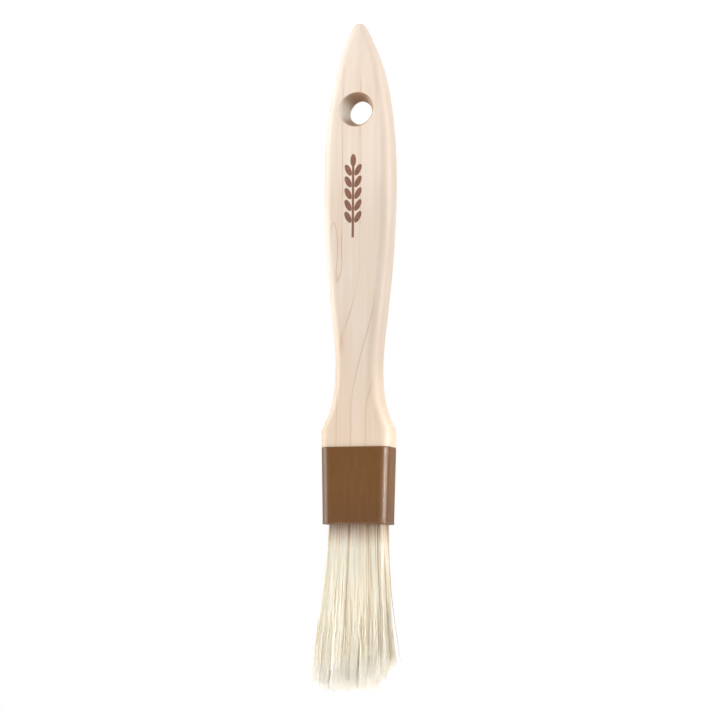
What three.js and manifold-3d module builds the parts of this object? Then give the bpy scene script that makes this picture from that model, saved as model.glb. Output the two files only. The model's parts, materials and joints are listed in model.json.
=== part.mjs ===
// Flat pastry brush: a waisted maple handle with a hang hole, a moulded ferrule, and two rows
// of natural bristle locks set in resin around a filler strip.
// Millimetres, +Z up towards the handle's tip. X is the brush's width and Y its thickness, with
// the front face at -Y. The origin is the centre of the hang hole.

import * as THREE from 'three';
import * as BufferGeometryUtils from 'three/addons/utils/BufferGeometryUtils.js';
import Module from 'manifold-3d';

const manifold = await Module();
manifold.setup();

// ---- Driving dimensions ----

const GAP = 0.3; // between touching pieces

// Handle: half widths and heights of the outline, from the tip down to the ferrule
const HANDLE_THICKNESS = 12.1;
const HANDLE_EDGE_RADIUS = 3;
const TIP_Z = 31.75;
const NOSE_HALF_WIDTH = 1.75;
const NOSE_Z = 30.8;
const BELLY_HALF_WIDTH = 12;
const BELLY_Z = -25.5;
const WAIST_HALF_WIDTH = 7.55;
const WAIST_Z = -88.8;
const FLARE_HALF_WIDTH = 11.95;
const FLARE_Z = -109.6;
const SHOULDER_HALF_WIDTH = 12.2;
const SHOULDER_Z = -111.3;
const HANDLE_ROWS = 50;

// The board thins towards its tip, from the taper's start up
const TAPER_START_Z = -8;
const TAPER_DROP = 3.4; // off each face, at the tip
const TAPER_POWER = 1.6;
const TIP_ROUNDING = 1.8;

// Hang hole, through the thickness: cut in from both faces to a narrower land in the middle
const HOLE_FACE_RADIUS = 6.2;
const HOLE_LAND_RADIUS = 4.1;
const HOLE_LAND_HALF_LENGTH = 0.6;
const HOLE_SEGMENTS = 40;

// Ferrule: an open sleeve, a little narrower at the mouth
const FERRULE_TOP_Z = -116.4;
const FERRULE_LENGTH = 26;
const FERRULE_TOP_HALF_WIDTH = 12.05;
const FERRULE_MOUTH_HALF_WIDTH = 11.45;
const FERRULE_THICKNESS = 13.7;
const FERRULE_CORNER_RADIUS = 3.4;
const FERRULE_WALL = 1;

// Tenon of the handle inside the ferrule
const TENON_LENGTH = 11;

// Setting: resin around the bristle roots and the filler strip between the two rows
const RESIN_BOTTOM_ABOVE_MOUTH = 6;
const FILLER_WIDTH = 14;
const FILLER_THICKNESS = 1.6;
const FILLER_HEIGHT = 6.5;
const ROOTS_WIDTH = 17.6;
const ROOTS_THICKNESS = 2.9;
const ROOTS_HEIGHT = 7.5;
const ROOTS_FROM_MIDDLE = 3;

// Bristles: locks side by side in a front and a back row, flaring to one side
const LOCK_LENGTHS = [52, 54, 55, 53, 46.5];
const PACK_LENGTH = 55;
const PACK_MOUTH_HALF_WIDTH = 9.7;
const PACK_TIP_LEFT = -15.8;
const PACK_TIP_RIGHT = 12;
const PACK_MOUTH_HALF_THICKNESS = 4.75;
const PACK_TIP_HALF_THICKNESS = 6.6;
const LOCK_EDGE_RADIUS = 0.5;
const LOCK_TIP_CHAMFER = 2;
const LOCK_ROWS = 5;
const FLARE_POWER = 1.25;

const HANDLE_BOTTOM_Z = FERRULE_TOP_Z + GAP;
const TENON_BOTTOM_Z = FERRULE_TOP_Z - TENON_LENGTH;
const MOUTH_Z = FERRULE_TOP_Z - FERRULE_LENGTH;
const RESIN_TOP_Z = TENON_BOTTOM_Z - GAP;
const RESIN_BOTTOM_Z = MOUTH_Z + RESIN_BOTTOM_ABOVE_MOUTH;

// ---- Finishes ----

const FINISHES = {
  maple: { color: 0xe6d3bd, roughness: 0.45, metalness: 0 },
  ferrule_plastic: { color: 0x7a5230, roughness: 0.32, metalness: 0 },
  resin: { color: 0x4a3a2a, roughness: 0.5, metalness: 0 },
  filler_wood: { color: 0xb98f63, roughness: 0.7, metalness: 0 },
  bristle: { color: 0xe9dec6, roughness: 0.6, metalness: 0 },
};

// ---- Shape helpers ----

// A closed ring of points at height z: a rounded rectangle, counter-clockwise seen from above
function roundedRing(left, right, front, back, radius, z, cornerSteps = 4) {
  const corners = [
    { x: right - radius, y: back - radius, start: 0 },
    { x: left + radius, y: back - radius, start: 0.5 * Math.PI },
    { x: left + radius, y: front + radius, start: Math.PI },
    { x: right - radius, y: front + radius, start: 1.5 * Math.PI },
  ];
  const ring = [];
  for (const corner of corners) {
    for (let step = 0; step <= cornerSteps; step += 1) {
      const angle = corner.start + (0.5 * Math.PI * step) / cornerSteps;
      const x = corner.x + radius * Math.cos(angle);
      const y = corner.y + radius * Math.sin(angle);
      ring.push(new THREE.Vector3(x, y, z));
    }
  }
  return ring;
}

// A closed body through rings stacked from the lowest to the highest
function loft(rings) {
  const count = rings[0].length;
  const points = rings.flat();
  const last = rings.length - 1;
  const triangles = [];
  for (let row = 0; row < last; row += 1) {
    for (let i = 0; i < count; i += 1) {
      const next = (i + 1) % count;
      const a = row * count + i;
      const b = row * count + next;
      const c = a + count;
      const d = b + count;
      triangles.push(a, b, d, a, d, c);
    }
  }
  for (let i = 1; i < count - 1; i += 1) {
    triangles.push(0, i + 1, i);
    triangles.push(last * count, last * count + i, last * count + i + 1);
  }
  const geometry = new THREE.BufferGeometry().setFromPoints(points);
  geometry.setIndex(triangles);
  return geometry;
}

function block(width, thickness, bottom, top, middleY = 0) {
  const geometry = new THREE.BoxGeometry(width, thickness, top - bottom);
  geometry.translate(0, middleY, (bottom + top) / 2);
  return geometry;
}

function toSolid(geometry) {
  const bare = geometry.clone();
  bare.deleteAttribute('normal');
  bare.deleteAttribute('uv');
  const merged = BufferGeometryUtils.mergeVertices(bare, 1e-4);
  const mesh = new manifold.Mesh({
    numProp: 3,
    vertProperties: new Float32Array(merged.attributes.position.array),
    triVerts: new Uint32Array(merged.index.array),
  });
  mesh.merge();
  return new manifold.Manifold(mesh);
}

function toGeometry(solid) {
  const mesh = solid.getMesh();
  const geometry = new THREE.BufferGeometry();
  geometry.setAttribute('position', new THREE.BufferAttribute(mesh.vertProperties, 3));
  geometry.setIndex(new THREE.BufferAttribute(mesh.triVerts, 1));
  return geometry;
}

// ---- Handle ----

// Half of the outline: x is the half width, y the height, from the tip down to the ferrule
function handleOutline() {
  const outline = new THREE.Path();
  outline.moveTo(0.3, TIP_Z);
  outline.quadraticCurveTo(1.3, TIP_Z, NOSE_HALF_WIDTH, NOSE_Z);
  outline.bezierCurveTo(3.7, 27.7, BELLY_HALF_WIDTH, 12, BELLY_HALF_WIDTH, BELLY_Z);
  outline.bezierCurveTo(BELLY_HALF_WIDTH, -57, WAIST_HALF_WIDTH, -76.5, WAIST_HALF_WIDTH, WAIST_Z);
  outline.bezierCurveTo(WAIST_HALF_WIDTH, -99.2, 8.8, -104, FLARE_HALF_WIDTH, FLARE_Z);
  outline.quadraticCurveTo(SHOULDER_HALF_WIDTH, -110.1, SHOULDER_HALF_WIDTH, SHOULDER_Z);
  outline.lineTo(SHOULDER_HALF_WIDTH, HANDLE_BOTTOM_Z);
  return outline;
}

// Half of the board's thickness at height z
function handleHalfThickness(z) {
  const up = Math.max(z - TAPER_START_Z, 0) / (TIP_Z - TAPER_START_Z);
  return HANDLE_THICKNESS / 2 - TAPER_DROP * up ** TAPER_POWER;
}

function handleBody() {
  const rings = [];
  for (const point of handleOutline().getSpacedPoints(HANDLE_ROWS)) {
    const half = handleHalfThickness(point.y);
    const rest = TIP_ROUNDING - Math.min(TIP_Z - point.y, TIP_ROUNDING);
    const drop = TIP_ROUNDING - Math.sqrt(TIP_ROUNDING ** 2 - rest ** 2);
    const radius = Math.min(HANDLE_EDGE_RADIUS, 0.95 * point.x, 0.95 * (half - drop));
    rings.push(roundedRing(-point.x, point.x, -half + drop, half - drop, radius, point.y));
  }
  return loft(rings.reverse());
}

// The hole's cutter: a short straight land in the middle that opens out towards both faces
function holeCutter() {
  const face = handleHalfThickness(0);
  const slope = (HOLE_FACE_RADIUS - HOLE_LAND_RADIUS) / (face - HOLE_LAND_HALF_LENGTH);
  const reach = face + 1.5;
  const widest = HOLE_FACE_RADIUS + slope * (reach - face);
  const profile = [
    new THREE.Vector2(0, -reach),
    new THREE.Vector2(widest, -reach),
    new THREE.Vector2(HOLE_LAND_RADIUS, -HOLE_LAND_HALF_LENGTH),
    new THREE.Vector2(HOLE_LAND_RADIUS, HOLE_LAND_HALF_LENGTH),
    new THREE.Vector2(widest, reach),
    new THREE.Vector2(0, reach),
  ];
  return new THREE.LatheGeometry(profile, HOLE_SEGMENTS);
}

function handle() {
  const overlap = 2;
  const inset = FERRULE_WALL + GAP;
  const tenon = loft([
    ferruleRing(TENON_BOTTOM_Z, inset),
    ferruleRing(HANDLE_BOTTOM_Z + overlap, inset),
  ]);
  return toGeometry(toSolid(handleBody()).add(toSolid(tenon)).subtract(toSolid(holeCutter())));
}

// ---- Ferrule ----

// A ring of the ferrule at height z, shrunk by inset from the outer face
function ferruleRing(z, inset) {
  const down = (FERRULE_TOP_Z - z) / FERRULE_LENGTH;
  const outer = THREE.MathUtils.lerp(FERRULE_TOP_HALF_WIDTH, FERRULE_MOUTH_HALF_WIDTH, down);
  const halfWidth = outer - inset;
  const halfThickness = FERRULE_THICKNESS / 2 - inset;
  const radius = FERRULE_CORNER_RADIUS - inset;
  return roundedRing(-halfWidth, halfWidth, -halfThickness, halfThickness, radius, z, 6);
}

function ferrule() {
  const outside = loft([ferruleRing(MOUTH_Z, 0), ferruleRing(FERRULE_TOP_Z, 0)]);
  const inside = loft([
    ferruleRing(MOUTH_Z - 1, FERRULE_WALL),
    ferruleRing(FERRULE_TOP_Z + 1, FERRULE_WALL),
  ]);
  return toGeometry(toSolid(outside).subtract(toSolid(inside)));
}

// ---- Setting inside the ferrule ----

function fillerStrip() {
  return block(FILLER_WIDTH, FILLER_THICKNESS, RESIN_BOTTOM_Z, RESIN_BOTTOM_Z + FILLER_HEIGHT);
}

function bristleRoots(side) {
  const top = RESIN_BOTTOM_Z + ROOTS_HEIGHT;
  return block(ROOTS_WIDTH, ROOTS_THICKNESS, RESIN_BOTTOM_Z, top, side * ROOTS_FROM_MIDDLE);
}

// A pocket in the resin for one of the pieces it holds, with the gap all round
function pocket(width, thickness, height, middleY) {
  const top = RESIN_BOTTOM_Z + height + GAP;
  return toSolid(block(width + 2 * GAP, thickness + 2 * GAP, RESIN_BOTTOM_Z - 1, top, middleY));
}

function resinBlock() {
  const inset = FERRULE_WALL + GAP;
  const body = toSolid(loft([ferruleRing(RESIN_BOTTOM_Z, inset), ferruleRing(RESIN_TOP_Z, inset)]));
  const filler = pocket(FILLER_WIDTH, FILLER_THICKNESS, FILLER_HEIGHT, 0);
  const front = pocket(ROOTS_WIDTH, ROOTS_THICKNESS, ROOTS_HEIGHT, -ROOTS_FROM_MIDDLE);
  const back = pocket(ROOTS_WIDTH, ROOTS_THICKNESS, ROOTS_HEIGHT, ROOTS_FROM_MIDDLE);
  return toGeometry(body.subtract(filler).subtract(front).subtract(back));
}

// ---- Bristles ----

// Where the pack's outer limits lie at height z: it flares from the mouth towards the tips
function packSpan(z) {
  const spread = (Math.max(MOUTH_Z - z, 0) / PACK_LENGTH) ** FLARE_POWER;
  return {
    left: THREE.MathUtils.lerp(-PACK_MOUTH_HALF_WIDTH, PACK_TIP_LEFT, spread),
    right: THREE.MathUtils.lerp(PACK_MOUTH_HALF_WIDTH, PACK_TIP_RIGHT, spread),
    outer: THREE.MathUtils.lerp(PACK_MOUTH_HALF_THICKNESS, PACK_TIP_HALF_THICKNESS, spread),
  };
}

// A ring of one lock at height z, reaching from the middle plane to outer on its side
function lockRing(index, side, z, outer) {
  const span = packSpan(z);
  const step = (span.right - span.left) / LOCK_LENGTHS.length;
  const left = span.left + index * step + GAP / 2;
  const right = left + step - GAP;
  const front = side < 0 ? -outer : GAP / 2;
  const back = side < 0 ? -GAP / 2 : outer;
  return roundedRing(left, right, front, back, LOCK_EDGE_RADIUS, z, 2);
}

// One lock: its tip is chamfered, and its top is a quarter round about the bend axis
function bristleLock(index, side) {
  const tipZ = MOUTH_Z - LOCK_LENGTHS[index];
  const rings = [lockRing(index, side, tipZ, packSpan(tipZ).outer - LOCK_TIP_CHAMFER)];
  const bodyTop = tipZ + LOCK_TIP_CHAMFER;
  for (let row = 0; row <= LOCK_ROWS; row += 1) {
    const z = THREE.MathUtils.lerp(bodyTop, MOUTH_Z, row / LOCK_ROWS);
    rings.push(lockRing(index, side, z, packSpan(z).outer));
  }
  for (const degrees of [20, 40, 60, 75]) {
    const angle = THREE.MathUtils.degToRad(degrees);
    const rise = PACK_MOUTH_HALF_THICKNESS * Math.sin(angle);
    const outer = PACK_MOUTH_HALF_THICKNESS * Math.cos(angle);
    rings.push(lockRing(index, side, MOUTH_Z + rise, outer));
  }
  return loft(rings);
}

// ---- Assembly ----

const brush = new THREE.Group();

function place(name, geometry, finish) {
  const mesh = new THREE.Mesh(geometry, new THREE.MeshStandardMaterial(FINISHES[finish]));
  mesh.name = name;
  brush.add(mesh);
}

place('handle', handle(), 'maple');
place('ferrule', ferrule(), 'ferrule_plastic');
place('resin_block', resinBlock(), 'resin');
place('filler_strip', fillerStrip(), 'filler_wood');
for (const [row, side] of [['front', -1], ['back', 1]]) {
  place(`bristle_roots_${row}`, bristleRoots(side), 'bristle');
  for (let index = 0; index < LOCK_LENGTHS.length; index += 1) {
    place(`bristle_lock_${row}_${index + 1}`, bristleLock(index, side), 'bristle');
  }
}

export default brush;
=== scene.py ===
# %% [markdown]
# # A flat pastry brush
#
# The brush has few pieces: a maple handle, a moulded ferrule and a pack of natural bristles set
# in resin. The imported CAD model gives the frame, so every size below is either read from it or is
# a finishing size, such as an edge radius. This file adds the fine surfaces: a handle with eased
# edges, a ferrule with its lip, and a few thousand single bristles.

# %% Load the frame
import json
import math

import bmesh
import bpy
from mathutils import Matrix, Vector
from mathutils.geometry import delaunay_2d_cdt

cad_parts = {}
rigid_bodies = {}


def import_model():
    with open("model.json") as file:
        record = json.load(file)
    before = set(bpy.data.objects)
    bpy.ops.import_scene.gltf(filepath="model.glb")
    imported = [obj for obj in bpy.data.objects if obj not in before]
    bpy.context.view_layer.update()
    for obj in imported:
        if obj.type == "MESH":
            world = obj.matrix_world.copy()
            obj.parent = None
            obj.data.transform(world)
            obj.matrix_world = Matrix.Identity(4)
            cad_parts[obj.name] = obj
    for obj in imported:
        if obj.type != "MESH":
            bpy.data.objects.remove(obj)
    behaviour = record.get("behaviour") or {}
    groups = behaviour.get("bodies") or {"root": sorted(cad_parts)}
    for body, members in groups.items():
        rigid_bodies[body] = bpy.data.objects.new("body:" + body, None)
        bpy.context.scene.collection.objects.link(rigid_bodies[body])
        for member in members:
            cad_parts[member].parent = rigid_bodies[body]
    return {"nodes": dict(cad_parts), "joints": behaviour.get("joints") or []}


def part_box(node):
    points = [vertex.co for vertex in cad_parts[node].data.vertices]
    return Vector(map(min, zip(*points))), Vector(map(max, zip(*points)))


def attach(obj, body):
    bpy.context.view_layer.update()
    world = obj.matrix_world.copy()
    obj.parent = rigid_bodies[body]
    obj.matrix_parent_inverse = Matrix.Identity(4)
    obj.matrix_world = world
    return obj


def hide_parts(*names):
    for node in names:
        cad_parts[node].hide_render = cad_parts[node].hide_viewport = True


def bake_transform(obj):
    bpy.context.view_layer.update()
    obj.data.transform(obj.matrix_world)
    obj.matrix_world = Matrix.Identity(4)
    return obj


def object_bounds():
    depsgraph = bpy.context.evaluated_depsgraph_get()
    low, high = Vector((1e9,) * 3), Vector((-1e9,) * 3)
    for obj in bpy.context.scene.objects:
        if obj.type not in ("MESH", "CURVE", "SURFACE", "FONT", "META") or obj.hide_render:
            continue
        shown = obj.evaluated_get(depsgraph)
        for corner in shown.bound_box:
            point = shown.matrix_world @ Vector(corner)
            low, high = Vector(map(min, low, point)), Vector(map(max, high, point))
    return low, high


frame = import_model()
cad_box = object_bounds()
MM = 0.001
bend = frame["joints"][0]

# %% [markdown]
# ## The camera comes first
#
# The brush is seen from a little to its right and from below the hang hole, through a
# short telephoto lens, so the sides converge slightly towards the tip. The camera's axes are
# worked out from three angles, because a rotation built from axes is easier to check than Euler
# angles.

# %% Camera
AZIMUTH = 17.07
ELEVATION = -6.93
ROLL = 0.4
LENS_MM = 97.4
DISTANCE = 0.6598
AIM_FROM_HOLE = Vector((-0.0011, 0, -0.0851))


def camera_axes(azimuth, elevation, roll):
    """The camera's right, up and backward directions, from angles in degrees."""
    a, e, r = (math.radians(angle) for angle in (azimuth, elevation, roll))
    backward = Vector((math.sin(a) * math.cos(e), -math.cos(a) * math.cos(e), math.sin(e)))
    level = Vector((math.cos(a), math.sin(a), 0))
    upright = backward.cross(level)
    right = math.cos(r) * level + math.sin(r) * upright
    return right, backward.cross(right), backward


right, up, backward = camera_axes(AZIMUTH, ELEVATION, ROLL)
camera = bpy.data.objects.new("camera", bpy.data.cameras.new("camera"))
camera.data.lens = LENS_MM
camera.data.sensor_width = 36
camera.data.clip_start = 0.01
camera.matrix_world = Matrix.Translation(AIM_FROM_HOLE + DISTANCE * backward) @ Matrix(
    (right, up, backward)
).transposed().to_4x4()
bpy.context.scene.collection.objects.link(camera)
bpy.context.scene.camera = camera
print("camera at", [round(c, 3) for c in camera.location])

# %% [markdown]
# ## Node trees as Python sums
#
# Both the finishes and the bristles are node trees. Wiring sockets by hand hides the sum that
# they stand for, so a small class wraps one socket and overloads the operators. A `Graph` makes
# any other node in one call: its type, its settings, then the values of its sockets.


# %% Sockets in expressions
def pick(sockets, key):
    """A node's socket by its index, identifier or name."""
    if isinstance(key, int):
        return sockets[key]
    for socket in sockets:
        if socket.identifier == key:
            return socket
    return sockets[key]


class Wire:
    """One output socket that takes part in Python sums."""

    def __init__(self, graph, socket):
        self.graph = graph
        self.socket = socket

    def math(self, operation, *values):
        return self.graph.math(operation, self, *values)

    def __add__(self, other):
        return self.math("ADD", other)

    def __radd__(self, other):
        return self.graph.math("ADD", other, self)

    def __sub__(self, other):
        return self.math("SUBTRACT", other)

    def __rsub__(self, other):
        return self.graph.math("SUBTRACT", other, self)

    def __mul__(self, other):
        return self.math("MULTIPLY", other)

    def __rmul__(self, other):
        return self.graph.math("MULTIPLY", other, self)

    def __truediv__(self, other):
        return self.math("DIVIDE", other)

    def __rtruediv__(self, other):
        return self.graph.math("DIVIDE", other, self)

    def __pow__(self, other):
        return self.math("POWER", other)

    def __neg__(self):
        return self.math("MULTIPLY", -1)

    def __abs__(self):
        return self.math("ABSOLUTE")


class Graph:
    """A node tree that is filled in by short calls."""

    def __init__(self, tree):
        self.tree = tree

    def raw(self, kind, settings=None, values=None):
        """Makes a node: first its settings, then its sockets' values or links."""
        node = self.tree.nodes.new(kind)
        for name, value in (settings or {}).items():
            setattr(node, name, value)
        for key, value in (values or {}).items():
            socket = pick(node.inputs, key)
            if isinstance(value, Wire):
                self.tree.links.new(value.socket, socket)
            else:
                socket.default_value = value
        return node

    def node(self, kind, settings=None, values=None, output=0):
        return Wire(self, pick(self.raw(kind, settings, values).outputs, output))

    def math(self, operation, *values):
        return self.node("ShaderNodeMath", {"operation": operation}, dict(enumerate(values)))

    def vector(self, operation, *values, output=0):
        settings = {"operation": operation}
        return self.node("ShaderNodeVectorMath", settings, dict(enumerate(values)), output)

    def scale(self, vector, factor):
        settings = {"operation": "SCALE"}
        return self.node("ShaderNodeVectorMath", settings, {0: vector, "Scale": factor})

    def combine(self, x, y, z):
        return self.node("ShaderNodeCombineXYZ", None, {0: x, 1: y, 2: z})

    def split(self, vector):
        node = self.raw("ShaderNodeSeparateXYZ", None, {0: vector})
        return [Wire(self, socket) for socket in node.outputs]

    def smooth(self, value, low, high):
        """0 below low, 1 above high, and an S-curve between them."""
        settings = {"interpolation_type": "SMOOTHSTEP"}
        return self.node("ShaderNodeMapRange", settings, {0: value, 1: low, 2: high, 3: 0, 4: 1})

    def noise(self, position, scale, detail=2.0, roughness=0.5):
        values = {"Vector": position, "Scale": scale, "Detail": detail, "Roughness": roughness}
        return self.node("ShaderNodeTexNoise", None, values)

    def mix(self, factor, first, second):
        """Blends two colours."""
        values = {"Factor_Float": factor, "A_Color": first, "B_Color": second}
        return self.node("ShaderNodeMix", {"data_type": "RGBA"}, values, "Result_Color")


def linear(red, green, blue):
    """A colour given as 0 to 255 display values, as the linear RGBA that shaders take."""
    def channel(value):
        share = value / 255
        return share / 12.92 if share <= 0.04045 else ((share + 0.055) / 1.055) ** 2.4
    return (channel(red), channel(green), channel(blue), 1)


def new_material(name):
    """A material with only its output node, and the graph to fill it with."""
    material = bpy.data.materials.new(name)
    material.use_nodes = True
    material.node_tree.nodes.clear()
    return material, Graph(material.node_tree)


def finish_material(graph, **sockets):
    """Ends a material in one Principled BSDF."""
    values = {name.replace("_", " "): value for name, value in sockets.items()}
    shader = graph.node("ShaderNodeBsdfPrincipled", None, values)
    graph.raw("ShaderNodeOutputMaterial", None, {"Surface": shader})


def position_mm(graph):
    """The surface point in the brush's own frame, in millimetres."""
    coordinates = graph.node("ShaderNodeTexCoord", None, None, "Object")
    return graph.scale(coordinates, 1 / MM)


print("helpers ready")

# %% [markdown]
# ## Closed bodies from rings
#
# The handle and the ferrule are both sleeves of rounded rectangles stacked along Z. A subdivision
# surface would round them too, but its radii drift with the cage, and these edges have real
# radii. So each section is worked out exactly, with a support point just inside each flat, which
# keeps the flats flat when the surface is shaded smooth.

# %% Rounded sections
SUPPORT = 0.12 * MM


def section(half_width, half_thickness, radius, z, steps):
    """A ring of points at height z, counter-clockwise from above, from the right back corner.
    Each corner is an arc with one support point on the flat at each end."""
    radius = min(radius, half_width, half_thickness)
    support = min(SUPPORT, half_width - radius, half_thickness - radius)
    ring = []
    for quarter, (side_x, side_y) in enumerate(((1, 1), (-1, 1), (-1, -1), (1, -1))):
        start = quarter * math.pi / 2
        centre = Vector((side_x * (half_width - radius), side_y * (half_thickness - radius), z))
        arc = [
            centre + radius * Vector((math.cos(a), math.sin(a), 0))
            for a in (start + step * math.pi / 2 / steps for step in range(steps + 1))
        ]
        along_in = Vector((math.sin(start), -math.cos(start), 0))
        along_out = Vector((-math.cos(start), -math.sin(start), 0))
        ring += [arc[0] + support * along_in] + arc + [arc[-1] + support * along_out]
    return ring


def ring_faces(first, second, count, skip=()):
    """Quads between two rings whose points start at the indices first and second."""
    faces = []
    for i in range(count):
        if i not in skip:
            j = (i + 1) % count
            faces.append((first + i, first + j, second + j, second + i))
    return faces


def solid(name, points, faces, material, sharp_degrees=35):
    """Makes one closed mesh object: doubles merged, faces outward, smooth with sharp corners."""
    mesh = bpy.data.meshes.new(name)
    mesh.from_pydata([tuple(point) for point in points], [], faces)
    work = bmesh.new()
    work.from_mesh(mesh)
    bmesh.ops.remove_doubles(work, verts=work.verts, dist=0.002 * MM)
    bmesh.ops.dissolve_degenerate(work, edges=work.edges, dist=0.0005 * MM)
    bmesh.ops.recalc_face_normals(work, faces=work.faces)
    open_edges = sum(1 for edge in work.edges if len(edge.link_faces) != 2)
    work.to_mesh(mesh)
    work.free()
    mesh.polygons.foreach_set("use_smooth", [True] * len(mesh.polygons))
    mesh.set_sharp_from_angle(angle=math.radians(sharp_degrees))
    mesh.materials.append(material)
    made = bpy.data.objects.new(name, mesh)
    bpy.context.scene.collection.objects.link(made)
    print(name, len(mesh.polygons), "faces,", open_edges, "open edges")
    return made


# %% [markdown]
# ## Handle: its outline
#
# The handle is a flat board cut to an outline with three good curves: from the nose to the belly,
# from the belly to the waist, and the flare to the shoulders. Each is one Bezier curve, so
# the whole side has only the points that its shape needs. The heights count from the hang hole's
# centre, and the ends come from the frame.

# %% Handle outline
handle_low, handle_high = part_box("handle")
ferrule_low, ferrule_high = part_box("ferrule")
SEAM = 0.04 * MM
TIP_Z = handle_high.z
SHOULDER_Z = ferrule_high.z + SEAM
HANDLE_HALF_THICKNESS = handle_high.y
HANDLE_EDGE = 3.1 * MM
NOSE = Vector((1.75, 30.8)) * MM
BELLY = Vector((12, -25.5)) * MM
WAIST = Vector((7.55, -88.8)) * MM
FLARE = Vector((11.95, -109.8)) * MM
SHOULDER = Vector((12.24, -111.6)) * MM


def bezier(points, steps):
    """Points along a Bezier curve of any degree, without its last point."""
    def blend_down(row, t):
        while len(row) > 1:
            row = [a.lerp(b, t) for a, b in zip(row, row[1:])]
        return row[0]
    return [blend_down([Vector(p) for p in points], step / steps) for step in range(steps)]


def handle_outline():
    """(half width, height) pairs from the tip down to the ferrule."""
    pull = [Vector(p) * MM for p in ((4.05, 27.9), (12, 12.3), (12, -57.1), (7.55, -76.5))]
    flare_pull = [Vector(p) * MM for p in ((7.55, -99.25), (8.84, -104))]
    corner = Vector((SHOULDER.x, -110.35 * MM))
    line = bezier([Vector((0.12 * MM, TIP_Z)), Vector((1.3 * MM, TIP_Z)), NOSE], 10)
    line += bezier([NOSE, pull[0], pull[1], BELLY], 56)
    line += bezier([BELLY, pull[2], pull[3], WAIST], 48)
    line += bezier([WAIST, flare_pull[0], flare_pull[1], FLARE], 36)
    line += bezier([FLARE, corner, SHOULDER], 14)
    return line + [SHOULDER, Vector((SHOULDER.x, SHOULDER_Z))]


outline = handle_outline()
print("handle outline", len(outline), "points, widest", round(max(p.x for p in outline) / MM, 2))

# %% [markdown]
# ## Handle: the solid
#
# A boolean would drill the hole quickly, but it leaves long slivers whose shading smears over
# the flat face. Here the rounded sides are strips of quads, the flat face around the
# hole is a Delaunay triangulation with the hole's rim as one of its borders, and the bore is a
# strip of its own. All of it shares its border points, so merging doubles closes the solid.
#
# The board thins towards its tip, so a flat face is only flat below the taper. Above it every
# row of the outline also crosses the triangulation, and each point is put at the depth that
# the board has at its height. The hole's bore is taken to narrow from both faces to its middle.
# The outline isn't quite even at the tip, so the finished points are moved a little to the left
# there.

# %% Handle mesh
HANDLE_STEPS = 9
TAPER_START = -8 * MM
TAPER_DROP = 3.6 * MM
TAPER_POWER = 1.6
TIP_ROUNDING = 2.2 * MM
TIP_LEAN = 0.6 * MM
TIP_LEAN_START = 14 * MM
TIP_LEAN_REACH = 12 * MM
HOLE_RADIUS = 5.9 * MM
HOLE_WAIST = 4.1 * MM
HOLE_RIM = 0.45 * MM
HOLE_SEGMENTS = 96
HOLE_ROWS = 16
BORE_POWER = 1.3
RIM_EASE_FROM = 0.88
RIM_POWER = 1.5
TENON_HALF_WIDTH = 10.1 * MM
TENON_HALF_THICKNESS = 5.5 * MM


def half_thickness(z):
    """Half of the board's thickness at height z."""
    up_taper = max(z - TAPER_START, 0) / (TIP_Z - TAPER_START)
    return HANDLE_HALF_THICKNESS - TAPER_DROP * up_taper**TAPER_POWER


def tip_lean(z):
    """How far the tip leans to the left of the middle at height z."""
    share = min(max((z - TIP_LEAN_START) / TIP_LEAN_REACH, 0), 1)
    return TIP_LEAN * share * share * (3 - 2 * share)


def circle(radius):
    """(x, z) points of a circle around the hang hole's axis."""
    turns = (2 * math.pi * i / HOLE_SEGMENTS for i in range(HOLE_SEGMENTS))
    return [Vector((radius * math.cos(a), radius * math.sin(a))) for a in turns]


def bore_rings():
    """The hole's wall from the front rim to the back rim, each rim eased where it meets the
    face. A share of 1 is the face's own depth at that point of the rim."""
    rim = HOLE_RADIUS + HOLE_RIM
    rings = []
    for step in range(-HOLE_ROWS, HOLE_ROWS + 1):
        share = math.sin(math.pi / 2 * step / HOLE_ROWS)
        radius = HOLE_WAIST + (HOLE_RADIUS - HOLE_WAIST) * abs(share) ** BORE_POWER
        eased = max(abs(share) - RIM_EASE_FROM, 0) / (1 - RIM_EASE_FROM)
        radius += (rim - HOLE_RADIUS) * eased**RIM_POWER
        rings.append([
            Vector((p.x * radius / rim, share * half_thickness(p.y), p.y * radius / rim))
            for p in circle(rim)
        ])
    return rings


def flat_face(left, right, side):
    """Triangles of one face between two borders, around the hang hole's rim. The borders run
    upwards, and side is -1 for the front face."""
    rim = HOLE_RADIUS + HOLE_RIM
    flat = [Vector((p.x, p.z)) / MM for p in left + right[::-1]]
    edges = [(i, (i + 1) % len(flat)) for i in range(len(flat))]
    for extra in (0, SUPPORT, 2 * SUPPORT):
        start = len(flat)
        flat += [p / MM for p in circle(rim + extra)]
        edges += [(start + i, start + (i + 1) % HOLE_SEGMENTS) for i in range(HOLE_SEGMENTS)]
    for row, (one, other) in enumerate(zip(left, right)):
        if one.z > TAPER_START and abs(one.z) > rim + 3 * SUPPORT:
            edges.append((row, len(left) + len(right) - 1 - row))
    points, _, triangles, _, _, _ = delaunay_2d_cdt(flat, edges, [], 1, 1e-5)
    kept = []
    for triangle in triangles:
        middle = sum((points[i] for i in triangle), Vector((0, 0))) / len(triangle)
        if middle.length > rim / MM * math.cos(math.pi / HOLE_SEGMENTS):
            kept.append(tuple(triangle))
    return [Vector((p.x * MM, side * half_thickness(p.y * MM), p.y * MM)) for p in points], kept


def handle_rings():
    """Sections from the ferrule up to the tip, where the thickness rounds off."""
    rings = []
    for point in reversed(outline):
        rest = TIP_ROUNDING - min(TIP_Z - point.y, TIP_ROUNDING)
        drop = TIP_ROUNDING - math.sqrt(max(TIP_ROUNDING**2 - rest**2, 0))
        half = half_thickness(point.y) - drop
        edge = min(HANDLE_EDGE, 0.8 * point.x, 0.95 * half)
        rings.append(section(point.x, half, edge, point.y, HANDLE_STEPS))
    return rings


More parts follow.
